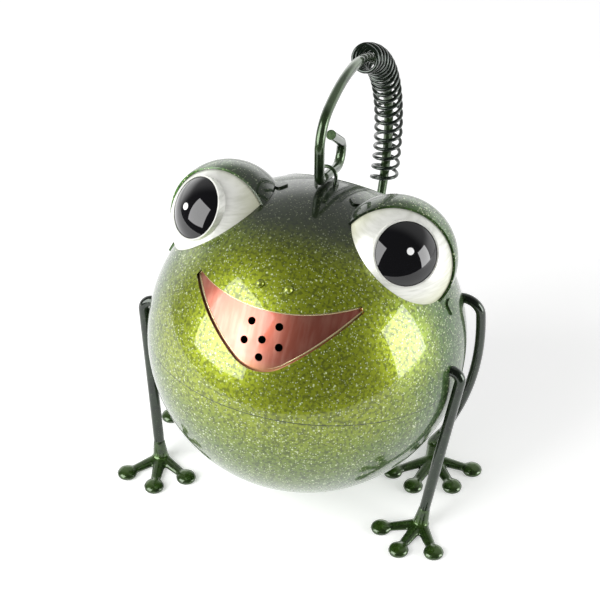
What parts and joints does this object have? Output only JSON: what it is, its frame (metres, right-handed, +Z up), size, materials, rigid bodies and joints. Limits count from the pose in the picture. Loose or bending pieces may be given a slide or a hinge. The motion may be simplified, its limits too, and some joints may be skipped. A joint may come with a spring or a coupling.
{
  "type": "frog watering can",
  "caption": "Frog-shaped sheet-metal watering can: ball body, sprinkling mouth plate, filler opening, hooked bail handle with a sliding coiled wire grip, wire legs with cast feet.",
  "frame": {"origin": "middle of the footprint, on the surface it stands on", "axes": "+Z up, the frog faces -Y, +X is the frog's left"},
  "size_m": [0.181, 0.2166, 0.2069],
  "materials": {
    "body_paint": "glossy candy green lacquer with fine pale flecks",
    "copper": "metallic copper-rose lacquer",
    "eye_white": "pearl white lacquer",
    "pupil_gloss": "gloss black enamel with a white dot",
    "rod_paint": "dark metallic green lacquer",
    "coil_wire": "blackish green lacquered wire",
    "dark_wire": "dark green lacquered wire",
    "leg_paint": "dark forest green lacquer",
    "foot_paint": "green lacquer over cast metal"
  },
  "bodies": {
    "can": {"upper_shell": "body_paint", "lower_bowl": "body_paint", "filler_rim": "body_paint", "mouth_plate": "copper", "nostril_pips": "body_paint", "front_eyelet": "dark_wire", "rear_eyelet": "dark_wire", "eye_white_left": "eye_white", "eye_ring_left": "eye_white", "pupil_left": "pupil_gloss", "eyelid_left": "body_paint", "eye_tabs_left": "body_paint", "leg_front_left": "leg_paint", "leg_rear_left": "leg_paint", "foot_front_left": "foot_paint", "foot_rear_left": "foot_paint", "eye_white_right": "eye_white", "eye_ring_right": "eye_white", "pupil_right": "pupil_gloss", "eyelid_right": "body_paint", "eye_tabs_right": "body_paint", "leg_front_right": "leg_paint", "leg_rear_right": "leg_paint", "foot_front_right": "foot_paint", "foot_rear_right": "foot_paint"},
    "handle": {"handle_rod": "rod_paint"},
    "grip": {"grip_coil": "coil_wire"}
  },
  "joints": [
    {"name": "handle_swing", "type": "hinge", "parent": "can", "child": "handle", "pos_m": [0, -0.00088, 0.16376], "axis": [0, -0.3502, 0.9367], "range_deg": [-30, 30]},
    {"name": "grip_slide", "type": "hinge", "parent": "handle", "child": "grip", "pos_m": [0, 0.0226, 0.1262], "axis": [1, 0, 0], "range_deg": [-30, 34]}
  ]
}
